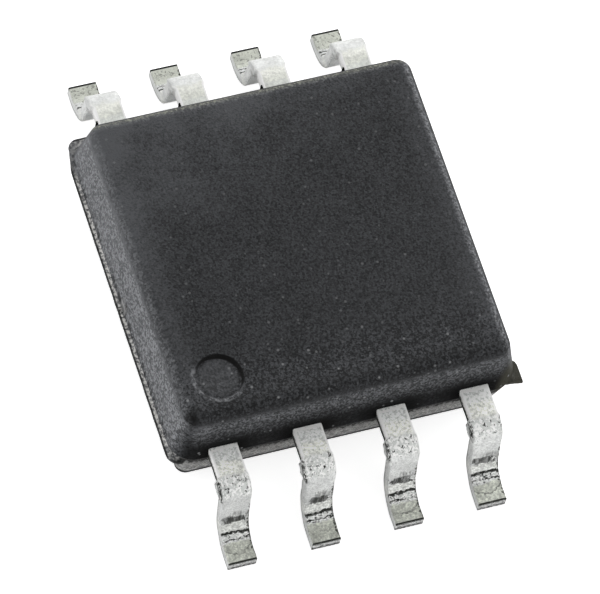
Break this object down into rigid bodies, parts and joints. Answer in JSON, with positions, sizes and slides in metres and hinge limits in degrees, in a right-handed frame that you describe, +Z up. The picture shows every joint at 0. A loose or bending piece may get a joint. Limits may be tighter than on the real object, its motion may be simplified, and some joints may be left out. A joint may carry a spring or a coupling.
{
  "type": "flash memory chip",
  "caption": "Surface-mount flash memory chip: square drafted moulded body with a round pin-1 dimple, and gull-wing leads along two sides.",
  "frame": {"origin": "on the seating plane under the feet, at the middle of the part's overall box", "axes": "+X along the lead rows from the end by leads 1 and 8 to the end by leads 4 and 5; +Y from the front row (leads 1 to 4) to the back row (leads 5 to 8); +Z up out of the circuit board"},
  "size_m": [0.0054, 0.008, 0.0019],
  "materials": {
    "mould_compound": "charcoal black epoxy moulding, fine-grained matte",
    "tin_plate": "matte tin plating over copper alloy, scuffed at the bends",
    "frame_copper": "bare stamped copper alloy strip",
    "die_adhesive": "cured silver-filled adhesive, dull grey",
    "silicon": "sawn silicon with a smooth passivated face",
    "gold_wire": "drawn gold wire"
  },
  "bodies": {
    "root": {"mould_body": "mould_compound", "lead_1": "tin_plate", "lead_2": "tin_plate", "lead_3": "tin_plate", "lead_4": "tin_plate", "lead_5": "tin_plate", "lead_6": "tin_plate", "lead_7": "tin_plate", "lead_8": "tin_plate", "die_paddle": "frame_copper", "die_attach": "die_adhesive", "flash_die": "silicon", "bond_wire_1": "gold_wire", "bond_wire_2": "gold_wire", "bond_wire_3": "gold_wire", "bond_wire_4": "gold_wire", "bond_wire_5": "gold_wire", "bond_wire_6": "gold_wire", "bond_wire_7": "gold_wire", "bond_wire_8": "gold_wire"}
  },
  "joints": []
}
